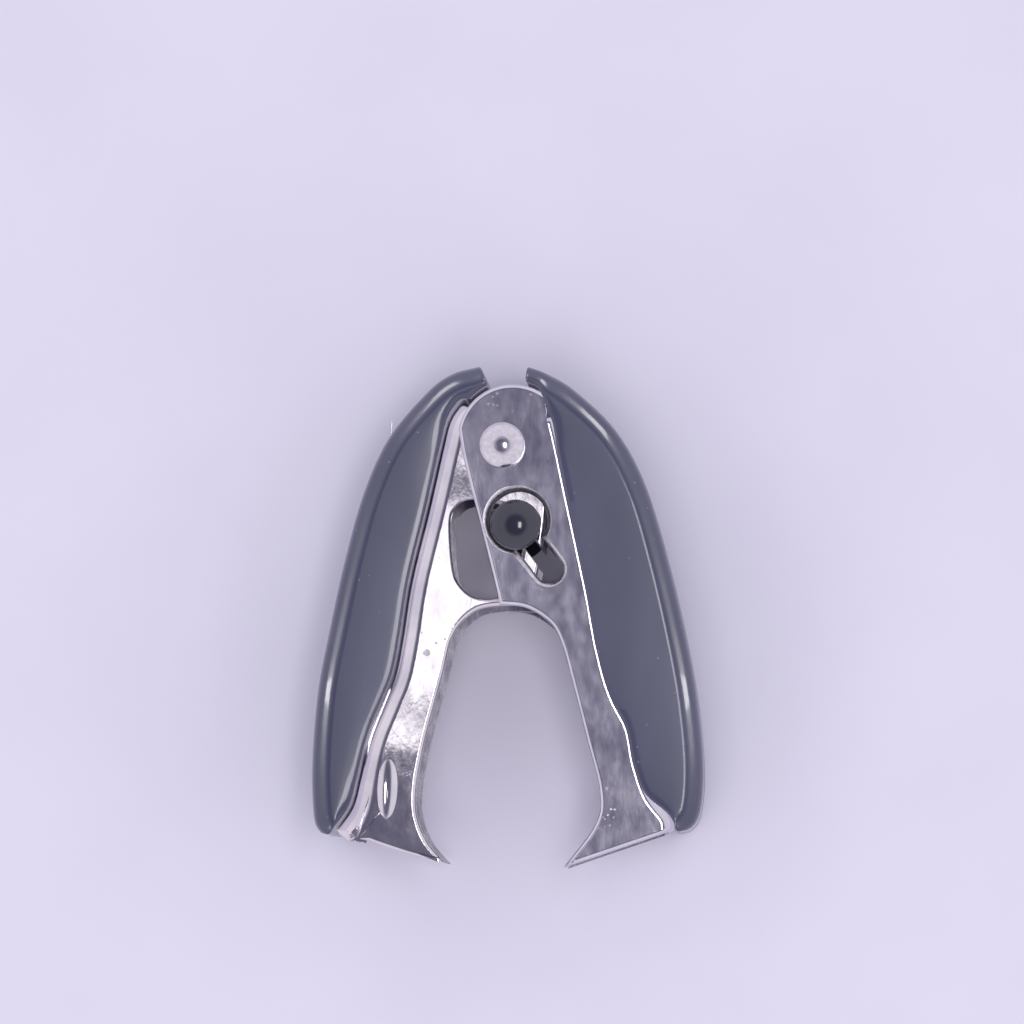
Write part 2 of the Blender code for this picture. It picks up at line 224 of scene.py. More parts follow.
def shearedEdge(name):
    # the cut face of the sheet under the same plate: burnished first, torn below,
    # with fine lines through its thickness
    mat, tree, place = newFinish(name)
    lines = addNode(tree, "Mapping", {"Vector": place, "Scale": (1.0, 1.0, 0.06)})
    streaks = addNode(tree, "TexNoise", {"Vector": lines.outputs[0], "Scale": grain(0.28),
                                         "Detail": 3.0, "Roughness": 0.65})
    tint = addNode(tree, "ValToRGB", {"Fac": streaks.outputs["Fac"]},
                   ramp=[(0.3, linear("b9b5bd")), (0.7, linear("ebe7ea"))])
    rough = addNode(tree, "MapRange", {"Value": streaks.outputs["Fac"], "To Min": 0.22, "To Max": 0.42})
    ridges = addNode(tree, "Bump", {"Height": streaks.outputs["Fac"], "Distance": 0.00003})
    shader = addNode(tree, "BsdfPrincipled", {"Base Color": tint.outputs[0], "Metallic": 1.0,
                                              "Roughness": rough.outputs[0], "Normal": ridges.outputs[0]})
    closeFinish(tree, shader)
    return mat


def turnedNickel(name, centre, finish):
    # nickel over a cold-headed rivet: a soft mirror with faint rings left by the die
    mat, tree, place = newFinish(name)
    centred = addNode(tree, "Mapping", {"Vector": place, "Location": -Vector(centre)})
    rings = addNode(tree, "TexWave", {"Vector": centred.outputs[0], "Scale": 0.314 / (finish["ringStep"] * 0.001),
                                      "Distortion": 1.2, "Detail": 2.0},
                    wave_type="RINGS", rings_direction="Z")
    speck = addNode(tree, "TexNoise", {"Vector": place, "Scale": grain(0.5), "Detail": 3.0})
    tint = addNode(tree, "ValToRGB", {"Fac": speck.outputs["Fac"]},
                   ramp=[(0.3, linear(finish["deep"])), (0.7, linear(finish["bright"]))])
    rough = addNode(tree, "MapRange", {"Value": speck.outputs["Fac"], "From Min": 0.3, "From Max": 0.7,
                                       "To Min": finish["rough"][0], "To Max": finish["rough"][1]})
    lines = addNode(tree, "Bump", {"Height": rings.outputs["Fac"], "Distance": finish["ringHeight"] * 0.001})
    dull = addNode(tree, "Bump", {"Height": speck.outputs["Fac"], "Distance": 0.000004,
                                  "Normal": lines.outputs[0]})
    shader = addNode(tree, "BsdfPrincipled", {"Base Color": tint.outputs[0], "Metallic": 1.0,
                                              "Roughness": rough.outputs[0], "Normal": dull.outputs[0]})
    closeFinish(tree, shader)
    return mat


def drawnWire(name, finish):
    # hard-drawn spring steel, oiled: grey, with short scratches from the die
    mat, tree, place = newFinish(name)
    along = addNode(tree, "Mapping", {"Vector": place, "Scale": (0.25, 0.25, 1.6)})
    scratch = addNode(tree, "TexNoise", {"Vector": along.outputs[0], "Scale": grain(0.12), "Detail": 3.0,
                                         "Roughness": 0.7})
    tint = addNode(tree, "ValToRGB", {"Fac": scratch.outputs["Fac"]},
                   ramp=[(0.32, linear(finish["deep"])), (0.68, linear(finish["bright"]))])
    rough = addNode(tree, "MapRange", {"Value": scratch.outputs["Fac"], "To Min": 0.22, "To Max": 0.45})
    relief = addNode(tree, "Bump", {"Height": scratch.outputs["Fac"], "Distance": 0.000012})
    shader = addNode(tree, "BsdfPrincipled", {"Base Color": tint.outputs[0], "Metallic": 1.0,
                                              "Roughness": rough.outputs[0], "Normal": relief.outputs[0]})
    closeFinish(tree, shader)
    return mat


def glossyAbs(name, finish):
    # injection-moulded ABS from a polished mould: a soft gloss with slow sink marks,
    # faint flow clouds in the colour and a very fine skin texture
    mat, tree, place = newFinish(name)
    flow = addNode(tree, "Mapping", {"Vector": place, "Rotation": (0, 0, finish["flowAngle"]),
                                     "Scale": (1.0, 0.35, 1.0)})
    clouds = addNode(tree, "TexNoise", {"Vector": flow.outputs[0], "Scale": grain(finish["cloudSize"]),
                                        "Detail": 2.0, "Roughness": 0.45})
    skin = addNode(tree, "TexNoise", {"Vector": place, "Scale": grain(0.22), "Detail": 2.0})
    sink = addNode(tree, "TexNoise", {"Vector": place, "Scale": grain(9.0), "Detail": 0.5})
    dust = addNode(tree, "TexVoronoi", {"Vector": place, "Scale": grain(1.7), "Randomness": 1.0})
    dustMask = addNode(tree, "ValToRGB", {"Fac": dust.outputs["Distance"]},
                       ramp=[(0.0, grey[1]), (0.035, grey[1]), (0.06, grey[0])])
    # for the grips the deep and bright colours are partly the plastic's own near-black and partly a painted haze:
    # a sheen of reflected light laid into the colour
    tint = addNode(tree, "ValToRGB", {"Fac": clouds.outputs["Fac"]},
                   ramp=[(0.3, linear(finish["deep"])), (0.7, linear(finish["bright"]))])
    dusted = addNode(tree, "Mix", {0: dustMask.outputs[0], 6: tint.outputs[0], 7: linear(finish["dust"])},
                     data_type="RGBA")
    rough = addNode(tree, "MapRange", {"Value": clouds.outputs["Fac"], "From Min": 0.3, "From Max": 0.7,
                                       "To Min": finish["rough"][0], "To Max": finish["rough"][1]})
    slow = addNode(tree, "Bump", {"Height": sink.outputs["Fac"], "Distance": finish["sinkHeight"] * 0.001})
    fine = addNode(tree, "Bump", {"Height": skin.outputs["Fac"], "Distance": finish["skinHeight"] * 0.001,
                                  "Normal": slow.outputs[0]})
    shader = addNode(tree, "BsdfPrincipled", {"Base Color": dusted.outputs[2], "Roughness": rough.outputs[0],
                                              "IOR": 1.53, "Coat Weight": finish["coat"],
                                              "Coat Roughness": 0.05, "Normal": fine.outputs[0]})
    closeFinish(tree, shader)
    return mat


finishes = {
    "outerPlate": {"bright": "dedae2", "deep": "cfcbd6", "rough": (0.10, 0.17), "waveSize": 11, "waveHeight": 0.05,
                   "peelSize": 1.3, "peelHeight": 0.006, "pitDepth": 0.002, "rollAngle": 0.25},
    "innerPlate": {"bright": "e6e0e2", "deep": "d2cdd4", "rough": (0.06, 0.12), "waveSize": 9, "waveHeight": 0.09,
                   "peelSize": 1.2, "peelHeight": 0.012, "pitDepth": 0.003, "rollAngle": -0.3},
    "insidePlate": {"bright": "c9c6cf", "deep": "b4b0bb", "rough": (0.20, 0.30), "waveSize": 8, "waveHeight": 0.05,
                    "peelSize": 0.9, "peelHeight": 0.010, "pitDepth": 0.003, "rollAngle": 0.0},
    "rivet": {"bright": "e2dde1", "deep": "cfcad2", "rough": (0.13, 0.22), "ringStep": 0.35, "ringHeight": 0.0012},
    "sleeve": {"bright": "bdbac2", "deep": "9b98a2", "rough": (0.25, 0.38), "ringStep": 0.25, "ringHeight": 0.002},
    "wire": {"bright": "a9a7ad", "deep": "6d6b72"},
    "pin": {"bright": "b5b3ba", "deep": "7d7b82"},
    # the grips' blue-grey is lighter than their black plastic: the lift over black is a painted haze, a sheen of
    # reflected light, not the moulding's own colour
    "grips": {"bright": "45475c", "deep": "3a3c50", "dust": "7c7c8e", "rough": (0.20, 0.28), "cloudSize": 7,
              "sinkHeight": 0.05, "skinHeight": 0.0008, "coat": 0.45, "flowAngle": 0.15},
    "button": {"bright": "30323f", "deep": "262835", "dust": "8f90a4", "rough": (0.08, 0.14), "cloudSize": 2.5,
               "sinkHeight": 0.02, "skinHeight": 0.001, "coat": 0.5, "flowAngle": 0.0},
}


# ---- making pieces

def asObject(name, bm, slots=()):
    mesh = bpy.data.meshes.new(name)
    bm.to_mesh(mesh)
    bm.free()
    for slot in slots:
        mesh.materials.append(slot)
    obj = bpy.data.objects.new(name, mesh)
    bpy.context.scene.collection.objects.link(obj)
    return obj


def finishPiece(name, bm, slots, body, node, sharp=40):
    # puts a piece drawn in mm in its place, and gives it to its body
    bmesh.ops.transform(bm, matrix=toFrame, verts=bm.verts)
    obj = asObject(name, bm, slots)
    obj.data.shade_smooth()
    obj.data.set_sharp_from_angle(angle=math.radians(sharp))
    even = obj.modifiers.new("even shading", "WEIGHTED_NORMAL")
    even.keep_sharp = True
    even.weight = 60
    if body:
        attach(obj, body)
    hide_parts(node)
    return obj


def layGrid(bm, rows):
    # lays a grid over the rows of points
    across, along = len(rows[0]) - 1, len(rows) - 1
    verts = bmesh.ops.create_grid(bm, x_segments=across, y_segments=along, size=0.5)["verts"]
    for vert in verts:
        vert.co = rows[round((vert.co.y + 0.5) * along)][round((vert.co.x + 0.5) * across)]
    return verts


def wrapGrid(bm, rings):
    # bends a grid round a row of rings, and closes its ends
    verts = layGrid(bm, [ring + [ring[0]] for ring in rings])
    bmesh.ops.remove_doubles(bm, verts=verts, dist=0.00001)
    rims = [edge for edge in bm.edges if edge.is_boundary]
    caps = bmesh.ops.holes_fill(bm, edges=rims, sides=0)["faces"]
    bmesh.ops.recalc_face_normals(bm, faces=bm.faces)
    return caps


def rollEdges(bm, edges, offset, segments):
    # rounds the edges, and pulls back any corner that the rounding throws out
    corners = kdtree.KDTree(len(bm.verts))
    for i, vert in enumerate(bm.verts):
        corners.insert(vert.co, i)
    corners.balance()
    rolled = bmesh.ops.bevel(bm, geom=list(edges), offset=offset, offset_type="OFFSET", affect="EDGES",
                             segments=segments, profile=0.5, material=-1, clamp_overlap=False)
    for vert in rolled["verts"]:
        near, _, away = corners.find(vert.co)
        if away > 1.45 * offset:
            vert.co = near
    return rolled["faces"]


def lathe(bm, profile, centre=(0, 0), steps=96):
    # spins a profile of (radius, height) about a line along Z
    verts = [bm.verts.new((centre[0] + r, centre[1], z)) for r, z in profile]
    edges = [bm.edges.new(pair) for pair in zip(verts, verts[1:])]
    bmesh.ops.spin(bm, geom=verts + edges, cent=(*centre, 0), axis=(0, 0, 1), dvec=(0, 0, 0),
                   angle=math.tau, steps=steps, use_merge=True)
    bmesh.ops.remove_doubles(bm, verts=bm.verts, dist=0.0001)
    bmesh.ops.recalc_face_normals(bm, faces=bm.faces)


# ---- jaws

# the stamped sheet's material slots, in order
skin, rim, inside, pressed = range(4)

blanks = {
    "outer": {
        "edge": [(-4.85, 1.6), (-4.2, -2.0), (-1.6, -12.4), (-0.3, -17.7)],
        "arch": [(-0.3, -17.7), (2.7, -18.1), (5.3, -19.8), (6.5, -22.0), (7.5, -25.5),
                 (9.4, -33.0), (10.7, -38.3), (10.3, -42.0), (6.73, -46.9)],
        "half": shape["outerHalf"], "side": 1, "tilt": 0.7,
        "keyhole": Vector((1.8, -8.3)), "keyholeRadius": 3.2, "lobeRadius": 1.55,
    },
    "inner": {
        "foot": [(-18.7, -42.9), (-15.7, -43.7), (-10.6, -45.4), (-6.4, -46.4)],
        "arch": [(-6.4, -46.4), (-8.7, -43.5), (-9.7, -39.6), (-8.9, -33.7), (-6.7, -25.3),
                 (-5.6, -21.1), (-3.3, -18.5), (-0.5, -17.8), (3.1, -17.8)],
        "edge": [(3.1, -17.8), (4.3, -11.9), (4.8, -8.3), (5.5, -1.2)],
        "window": [(-0.3, -6.5), (-3.6, -5.9), (-5.3, -6.8), (-5.9, -8.6), (-5.6, -13.4),
                   (-4.9, -15.4), (-3.2, -16.8), (-0.8, -16.9)],
        "half": shape["innerHalf"], "side": -1, "tilt": 0.9, "eyeRadius": 5.6,
        "pip": Vector((-8.5, -23.0)), "bead": Vector((-12.85, -38.1)),
    },
    "outerBend": 1.5, "innerBend": 1.9, "footBend": 2.8, "bendSteps": 10, "roll": 0.5, "keyholeRoll": 0.78,
    "drillRoll": 0.1, "branchRadius": 0.75, "weld": 0.0015, "beadHalves": (3.4, 1.12), "beadDepth": 0.42,
    "beadHeading": 88, "pipHalves": (0.38, 0.34), "pipDepth": 0.2,
    "rivetHole": 1.8, "pegRadius": 1.5, "pegs": (-10.5, -30.0), "closing": 18.5, "pinRoom": 0.9,
}


def foldBlank(name, freeEdge, bendLine, radii, half, side, tilt, footAt):
    # half of a jaw: one cheek cut flat, with the bend and half of the web laid along it
    inner = asideLine(bendLine, [-r for r in radii])
    foot = freeEdge[-1 if footAt == 0 else 0] - bendLine[footAt]
    ahead = (bendLine[1] - bendLine[0]) if footAt == 0 else (bendLine[-1] - bendLine[-2])
    square = abs(foot.normalized().cross(ahead.normalized()))
    inner[footAt] = bendLine[footAt] + foot.normalized() * radii[footAt] / square
    rows = []
    for corner, start, radius in zip(bendLine, inner, radii):
        row = []
        for k in range(blanks["bendSteps"] + 1):
            turn = math.pi / 2 * k / blanks["bendSteps"]
            spot = corner + (start - corner) * (1 - math.sin(turn))
            row.append(Vector((*spot, half - radius + radius * math.cos(turn))))
        rows.append(row + [Vector((*corner, (half - radius) / 2)), Vector((*corner, 0))])
    bm = bmesh.new()
    bm.faces.new([bm.verts.new((p.x, p.y, half)) for p in inner + freeEdge])
    layGrid(bm, rows)
    bmesh.ops.remove_doubles(bm, verts=bm.verts, dist=0.0005)
    bmesh.ops.recalc_face_normals(bm, faces=bm.faces)
    if max(bm.faces, key=lambda face: face.calc_area()).normal.z < 0:
        bmesh.ops.reverse_faces(bm, faces=bm.faces)
    lean = math.tan(math.radians(tilt))
    for vert in bm.verts:                       # the fold is pressed a little past square
        vert.co.z -= lean * side * vert.co.x * vert.co.z / half
    return asObject(name, bm)


def holeCutter(outlineAt, half, roll):
    # a punch whose ends flare, so that it leaves a rolled edge on both cheeks;
    # outlineAt gives the hole's outline grown by a distance
    levels = [(half + 1.0, roll + 0.02), (half + 0.001, roll + 0.001)] + [
        (half - roll * (1 - math.cos(math.pi / 2 * k / 8)), roll * (1 - math.sin(math.pi / 2 * k / 8)))
        for k in range(1, 9)]
    rings = [[Vector((*p, z)) for p in outlineAt(grown)] for z, grown in levels]
    rings += [[Vector((p.x, p.y, -p.z)) for p in ring] for ring in reversed(rings)]
    bm = bmesh.new()
    wrapGrid(bm, rings)
    return cutterObject(bm, rim)


def roundHole(centre, radius, half, roll, steps=96):
    return holeCutter(lambda grown: arcLine(centre, radius + grown, 0, 360 - 360 / steps, steps - 1), half, roll)


def slotHole(start, end, radius, half, roll):
    return holeCutter(lambda grown: slotLine(start, end, radius + grown), half, roll)


def windowHole(line, half, roll):
    loop = [line[-2], line[-1]] + line + [line[0], line[1]]
    return holeCutter(lambda grown: asideLine(loop, grown)[2:-2], half, roll)


def beadCutter(centre, halves, depth, heading, height):
    # presses a round-bottomed hollow of that half length, half width and depth
    curve = (halves[1] ** 2 + depth ** 2) / (2 * depth)
    stretch = halves[0] / halves[1]
    bm = bmesh.new()
    bmesh.ops.create_uvsphere(bm, u_segments=96, v_segments=64, radius=curve,
                              matrix=Matrix.Translation((*centre, height + curve - depth))
                              @ Matrix.Rotation(math.radians(heading), 4, "Z")
                              @ Matrix.Diagonal((stretch, 1, 1, 1)))
    return cutterObject(bm, pressed)


def pegCutter(line, y, radius):
    bm = bmesh.new()
    bmesh.ops.create_cone(bm, cap_ends=True, segments=48, radius1=radius, radius2=radius, depth=7,
                          matrix=Matrix.Translation((crossing(line, y), y, 0))
                          @ Matrix.Rotation(math.pi / 2, 4, "Y"))
    return cutterObject(bm, rim)


def cutterObject(bm, index):
    bmesh.ops.recalc_face_normals(bm, faces=bm.faces)
    for face in bm.faces:
        face.material_index = index
    return asObject("cutter", bm)


def asMesh(obj):
    ready = obj.evaluated_get(bpy.context.evaluated_depsgraph_get())
    mesh = bpy.data.meshes.new_from_object(ready)
    bm = bmesh.new()
    bm.from_mesh(mesh)
    bpy.data.meshes.remove(mesh)
    bpy.data.objects.remove(obj)
    return bm


def stampJaw(blank, cutters):
    # mirrors the half and gives it the sheet's thickness, rolls its outline, then
    # punches the holes
    slots = [bpy.data.materials.new("stamp") for _ in (skin, rim, inside, pressed)]
    for obj in [blank] + cutters:
        for slot in slots:
            obj.data.materials.append(slot)
    mirror = blank.modifiers.new("other cheek", "MIRROR")
    mirror.use_axis = (False, False, True)
    mirror.merge_threshold = 0.01
    solid = blank.modifiers.new("sheet", "SOLIDIFY")
    solid.thickness = shape["sheet"]
    solid.offset = -1
    solid.use_even_offset = True
    solid.material_offset = inside
    solid.material_offset_rim = rim
    bm = asMesh(blank)
    rims = [edge for edge in bm.edges if {face.material_index for face in edge.link_faces} == {skin, rim}]
    for face in rollEdges(bm, rims, blanks["roll"], 6):
        face.material_index = skin
    stamped = asObject("stamped", bm, slots)
    for cutter in cutters:
        punch = stamped.modifiers.new("punch", "BOOLEAN")
        punch.object = cutter
        punch.solver = "EXACT"
    bm = asMesh(stamped)
    for cutter in cutters:
        bpy.data.objects.remove(cutter)
    for slot in slots:
        bpy.data.materials.remove(slot)
    bmesh.ops.remove_doubles(bm, verts=bm.verts, dist=blanks["weld"])
    for face in bm.faces:
        if face.material_index == pressed:
            face.material_index = skin
    return bm


outerBend = smoothLine(shape["outerBend"], 5)
innerBend = smoothLine(shape["innerBend"], 5)


def makeOuterJaw():
    drawing = blanks["outer"]
    half = drawing["half"]
    bend = smoothLine(shape["outerBend"][:-1], 5)
    top = arcLine(shape["headCentre"], shape["headRadius"], 48, 172, 44)
    free = top[:-1] + smoothLine(drawing["edge"], 8)[:-1] + smoothLine(drawing["arch"], 6)
    radii = [blanks["outerBend"]] * len(bend)
    blank = foldBlank("outer jaw", free, bend, radii, half, drawing["side"], drawing["tilt"], 0)
    cutters = [
        roundHole((0, 0), blanks["rivetHole"], half, blanks["drillRoll"]),
        roundHole(drawing["keyhole"], drawing["keyholeRadius"], half, blanks["keyholeRoll"]),
        slotHole(shape["lockAt"], shape["lockEnd"], drawing["lobeRadius"], half, blanks["keyholeRoll"]),
    ] + [pegCutter(outerBend, y, blanks["pegRadius"] + shape["gap"]) for y in blanks["pegs"]]
    bm = stampJaw(blank, cutters)
    return finishPiece("outerJaw", bm, [outerPlate, edgePlate, insidePlate], "outer_half",
                       "outer_jaw")


def makeInnerJaw():
    drawing = blanks["inner"]
    half = drawing["half"]
    edge = smoothLine(drawing["edge"], 8)
    eyeStart = math.degrees(math.atan2(edge[-1].y, edge[-1].x))
    top = arcLine((0, 0), drawing["eyeRadius"], eyeStart + 3, 123, 42)
    radii = [blanks["innerBend"] + (blanks["footBend"] - blanks["innerBend"]) * max(0, (-35 - p.y) / 8) ** 1.5
             for p in innerBend]
    foot = [p for p in smoothLine(drawing["foot"], 6) if p.x > -18.7 + blanks["footBend"] + 0.6]
    free = foot + smoothLine(drawing["arch"], 6)[1:] + edge[1:] + top
    blank = foldBlank("inner jaw", free, innerBend, radii, half, drawing["side"], drawing["tilt"], -1)
    locked = Matrix.Rotation(math.radians(-blanks["closing"]), 2) @ shape["lockEnd"]
    room = blanks["pinRoom"]
    lockAt = shape["lockAt"]
    window = [Vector(p) for p in drawing["window"]]
    window += [locked + Vector((room * 0.4, -room * 1.3)), locked + Vector((room * 1.05, 0)),
               lockAt + Vector((room, -room * 1.3)), lockAt + Vector((room, room * 0.2)),
               lockAt + Vector((room * 0.2, room * 1.2))]
    slope = math.tan(math.radians(drawing["tilt"]))
    pip, bead = drawing["pip"], drawing["bead"]
    cutters = [
        roundHole((0, 0), blanks["rivetHole"], half, blanks["drillRoll"]),
        windowHole(smoothLine(window, 8, closed=True), half, blanks["roll"]),
        slotHole(lockAt, shape["lockEnd"], blanks["branchRadius"], half, blanks["drillRoll"]),
        beadCutter(bead, blanks["beadHalves"], blanks["beadDepth"], blanks["beadHeading"], half + slope * bead.x),
        beadCutter(pip, blanks["pipHalves"], blanks["pipDepth"], 0, half + slope * pip.x),
    ] + [pegCutter(innerBend, y, blanks["pegRadius"] + shape["gap"]) for y in blanks["pegs"]]
    bm = stampJaw(blank, cutters)
    return finishPiece("innerJaw", bm, [innerPlate, edgePlate, insidePlate], "inner_half",
                       "inner_jaw")


# ---- grips

grips = {
    "half": 10.0, "round": 2.3, "roundSteps": 10, "seatRound": 0.3, "seatGap": 0.12, "crown": 0.2,
    "parting": 0.05, "stations": 110, "endRound": 0.3, "leftLip": 0.0, "rightLip": 1.35, "lipFoot": 7.75,
    "leftBack": [(-2.4, 8.8), (-5.5, 8.0), (-8.3, 6.0), (-12.6, 0.9), (-15.4, -5.2),
                 (-17.5, -12.7), (-19.2, -20.5), (-20.5, -27.5), (-21.1, -35.5),
                 (-20.9, -41.2), (-20.2, -42.9), (-19.0, -43.3)],
    "rightBack": [(19.4, -43.0), (21.0, -42.5), (22.0, -40.4), (22.3, -35.5), (21.7, -28.7),
                  (20.5, -21.8), (18.4, -12.7), (15.9, -4.4), (12.7, 1.5), (8.4, 5.8),
                  (5.5, 7.7), (2.8, 8.7)],
    "pegStand": 0.9, "pegReach": 1.5, "pegRound": 0.25, "topEnd": 6.4, "topFade": 0.9,
    "footEnd": -42.2, "footFade": 1.5,
}


def gripSection(back, seat, lipWidth):
    # one cut across a grip: round at the back, flat at the sides, square to the jaw,
    # with a lip over the jaw's bend
    across = seat - back
    seatAt = across.length
    wide = seatAt + lipWidth
    half = grips["half"]
    radius = min(grips["round"], wide * 0.85)
    lip = min(grips["seatRound"], (wide - radius) * 0.5)
    upper = [(-grips["parting"], 0.0), (0.0, 0.12), (0.0, 1.5), (0.01, (half - radius) * 0.6)]
    for k in range(grips["roundSteps"] + 1):
        turn = math.pi / 2 * k / grips["roundSteps"]
        upper.append((radius * (1 - math.cos(turn)), half - radius + radius * math.sin(turn)))
    flat = wide - lip - radius
    for share in (0.3, 0.6, 0.85, 1.0):
        upper.append((radius + flat * share, half - grips["crown"] * share * share))
    foot = half - grips["crown"]
    for turn in (math.radians(30), math.radians(60), math.radians(90)):
        upper.append((wide - lip + lip * math.sin(turn), foot - lip + lip * math.cos(turn)))
    upper += [(wide, grips["lipFoot"] + 0.15), (wide - 0.15 * min(lipWidth, 1), grips["lipFoot"]),
              (seatAt, grips["lipFoot"] - 0.05 * lipWidth), (seatAt, foot * 0.4), (seatAt, 0.0)]
    loop = upper + [(d, -z) for d, z in reversed(upper[1:-1])]
    return [Vector((*(back + across * (d / seatAt)), z)) for d, z in loop]


def makeGrip(name, backPoints, seatLine, bend, side, lip, body, node):
    count = grips["stations"]
    backLine = evenLine(smoothLine(backPoints, 8), count)
    seat = evenLine(seatLine, count)
    sections = []
    for a, b in zip(backLine, seat):
        atTop = max((grips["topEnd"] - b.y) / grips["topFade"], 0)
        atFoot = max((b.y - grips["footEnd"]) / grips["footFade"], 0)
        sections.append(gripSection(a, b, lip * min(atTop, atFoot, 1)))
    bm = bmesh.new()
    caps = wrapGrid(bm, sections)
    ends = {edge for face in caps for edge in face.edges}
    rollEdges(bm, ends, grips["endRound"], 3)
    for y in blanks["pegs"]:
        web = crossing(bend, y)
        inner = web - side * (shape["sheet"] + grips["pegStand"])
        outer = web + side * grips["pegReach"]
        made = bmesh.ops.create_cone(bm, cap_ends=True, segments=48, radius1=blanks["pegRadius"],
                                     radius2=blanks["pegRadius"], depth=abs(outer - inner),
                                     matrix=Matrix.Translation(((outer + inner) / 2, y, 0))
                                     @ Matrix.Rotation(math.pi / 2, 4, "Y"))["verts"]
        tip = {edge for vert in made for edge in vert.link_edges
               if all(abs(v.co.x - inner) < 0.01 for v in edge.verts)}
        rollEdges(bm, tip, grips["pegRound"], 3)
    return finishPiece(name, bm, [gripAbs], body, node)


def makeGrips():
    gap = grips["seatGap"]
    radius = shape["headRadius"] + gap * 2
    leftSeat = arcLine(shape["headCentre"], radius, 114, 137, 8) + asideLine(innerBend, gap)
    rightSeat = asideLine(outerBend, gap)[:-1] + arcLine(shape["headCentre"], radius, 47, 76, 8)
    left = makeGrip("leftGrip", grips["leftBack"], leftSeat, innerBend, -1, grips["leftLip"],
                    "inner_half", "left_grip")
    right = makeGrip("rightGrip", grips["rightBack"], rightSeat, outerBend, 1, grips["rightLip"],
                     "outer_half", "right_grip")
    return left, right


# ---- rivet, spring and lock

rivet = {"shank": 1.5, "head": 2.5, "height": 1.7, "lift": 0.12, "cap": 1.15, "steps": 96}


def makeRivet():
    foot = shape["outerHalf"] + rivet["lift"]
    top = shape["outerHalf"] + shape["gap"] + rivet["height"]
    curve = (rivet["head"] ** 2 + rivet["cap"] ** 2) / (2 * rivet["cap"])
    sweep = math.asin(rivet["head"] / curve)
    upper = [(0.0, top)]
    for k in range(1, 19):
        turn = sweep * k / 18
        upper.append((curve * math.sin(turn), top - curve * (1 - math.cos(turn))))
    upper += [(rivet["head"], foot + 0.03), (rivet["head"] - 0.04, foot), (rivet["shank"], foot)]
    bm = bmesh.new()
    lathe(bm, upper + [(r, -z) for r, z in reversed(upper)], steps=rivet["steps"])
    return finishPiece("pivotRivet", bm, [rivetNickel], "outer_half", "pivot_rivet")


button = {"radius": 2.8, "height": 2.0, "skirt": 0.35, "boss": 1.25, "pinHole": 0.8, "pinDepth": 0.8,
          "chamfer": 0.12, "undercut": 0.1, "steps": 96}


def makeButton(name, node, side):
    foot = shape["outerHalf"] + shape["gap"]
    rise = button["height"] - button["skirt"]
    profile = [(0.0, foot + button["height"])]
    for k in range(1, 23):
        turn = math.pi / 2 * k / 22
        profile.append((button["radius"] * math.sin(turn), foot + button["skirt"] + rise * math.cos(turn)))
    floorOf = shape["outerHalf"] - shape["sheet"] + shape["gap"] / 2
    profile += [(button["radius"], foot + button["chamfer"]),
                (button["radius"] - button["undercut"], foot), (button["boss"], foot),
                (button["boss"], floorOf), (button["pinHole"], floorOf),
                (button["pinHole"], foot + button["pinDepth"]), (0.0, foot + button["pinDepth"])]
    bm = bmesh.new()
    lathe(bm, [(r, side * z) for r, z in profile], centre=shape["lockAt"], steps=button["steps"])
    return finishPiece(name, bm, [buttonAbs], "lock", node)


spring = {"wire": 0.9, "coil": 3.2, "turns": 5, "length": 8.0, "drop": 7.0, "sides": 20, "perTurn": 40,
          "legSteps": 8, "endRound": 0.12}


def makeSpring():
    radius = spring["wire"] / 2
    reachIn = shape["sheet"] + shape["gap"] * 1.3 + radius
    right = Vector((crossing(outerBend, -spring["drop"]) - reachIn, -spring["drop"]))
    left = Vector((crossing(innerBend, -spring["drop"]) + reachIn, -spring["drop"]))
    start = math.atan2(right.y, right.x) + math.acos(spring["coil"] / right.length)
    end = math.atan2(left.y, left.x) - math.acos(spring["coil"] / left.length) + math.tau
    sweep = (end - start) % math.tau + math.tau * spring["turns"]
    steps = spring["turns"] * spring["perTurn"]
    low, high = -spring["length"] / 2, spring["length"] / 2
    coil = []
    for k in range(steps + 1):
        turn = start + sweep * k / steps
        height = low + (high - low) * k / steps
        coil.append(Vector((spring["coil"] * math.cos(turn), spring["coil"] * math.sin(turn), height)))
    first, last = Vector((*right, low)), Vector((*left, high))
    legSteps = spring["legSteps"]
    path = [first.lerp(coil[0], k / legSteps) for k in range(legSteps)] + coil
    path += [coil[-1].lerp(last, k / legSteps) for k in range(1, legSteps + 1)]
    rings = []
    for i, point in enumerate(path):
        along = (path[min(i + 1, len(path) - 1)] - path[max(i - 1, 0)]).normalized()
        sideways = along.cross(Vector((0, 0, 1))).normalized()
        upward = sideways.cross(along)
        ring = []
        for k in range(spring["sides"]):
            turn = math.tau * k / spring["sides"]
            ring.append(point + radius * (math.cos(turn) * sideways + math.sin(turn) * upward))
        rings.append(ring)
    bm = bmesh.new()
    caps = wrapGrid(bm, rings)
    ends = {edge for face in caps for edge in face.edges}
    rollEdges(bm, ends, spring["endRound"], 3)
    obj = finishPiece("torsionSpring", bm, [springWire], None, "torsion_spring")
    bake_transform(obj)
    return obj


# ---- the pieces

outerPlate = nickelPlate("nickelPlateOuterJaw", finishes["outerPlate"])
innerPlate = nickelPlate("nickelPlateInnerJaw", finishes["innerPlate"])
insidePlate = nickelPlate("dullNickelInside", finishes["insidePlate"])
edgePlate = shearedEdge("platedShearedEdge")
rivetNickel = turnedNickel("coldHeadedNickelRivet", pivot, finishes["rivet"])
sleeveSteel = turnedNickel("turnedSteelSleeve", pivot, finishes["sleeve"])
springWire = drawnWire("drawnSpringSteel", finishes["wire"])
pinSteel = drawnWire("groundPinSteel", finishes["pin"])
gripAbs = glossyAbs("mouldedAbsGrip", finishes["grips"])
buttonAbs = glossyAbs("mouldedAbsButton", finishes["button"])
say("finishes mixed")

